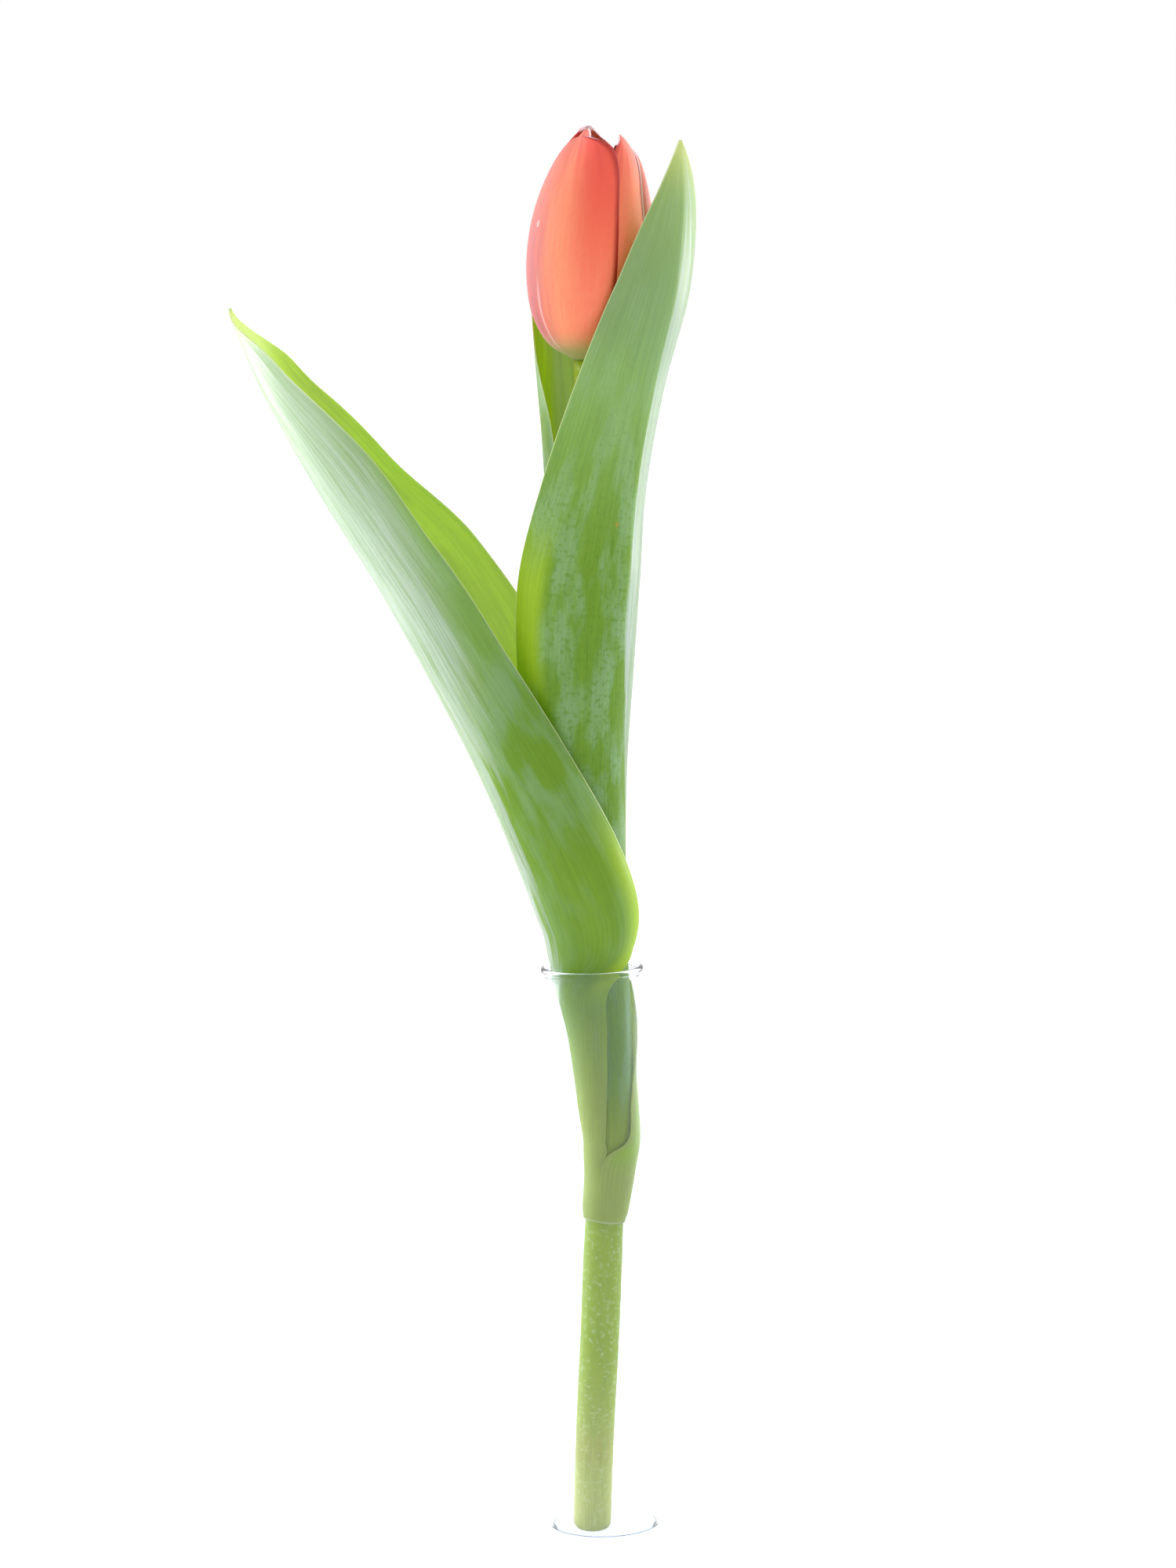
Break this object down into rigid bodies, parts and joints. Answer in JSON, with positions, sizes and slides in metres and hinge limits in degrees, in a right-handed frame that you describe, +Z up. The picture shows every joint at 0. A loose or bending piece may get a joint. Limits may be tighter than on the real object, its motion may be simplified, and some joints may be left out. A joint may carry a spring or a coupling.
{
  "type": "cut tulip in a glass vase",
  "caption": "Cut tulip with a closed coral bud and long grey-green leaves, standing in shallow water in a tall, narrow tube vase of clear glass with a rolled lip.",
  "frame": {"origin": "middle of the vase's underside, on the vase's axis", "axes": "+Z up along the vase's axis, +X to the right as seen in the picture, +Y away from the viewer"},
  "size_m": [0.1198, 0.0484, 0.3942],
  "materials": {
    "glass": "polished",
    "water": "gloss",
    "stem_green": "satin",
    "leaf_green": "satin",
    "outer_coral": "satin",
    "inner_coral": "satin",
    "pistil_green": "satin",
    "stamen_yellow": "matte"
  },
  "bodies": {
    "root": {"vase": "glass", "water": "water", "stem": "stem_green", "leaf_lower": "leaf_green", "leaf_middle": "leaf_green", "leaf_upper": "leaf_green", "outer_tepal_1": "outer_coral", "outer_tepal_2": "outer_coral", "outer_tepal_3": "outer_coral", "inner_tepal_1": "inner_coral", "inner_tepal_2": "inner_coral", "inner_tepal_3": "inner_coral", "pistil": "pistil_green", "stamens": "stamen_yellow"}
  },
  "joints": []
}
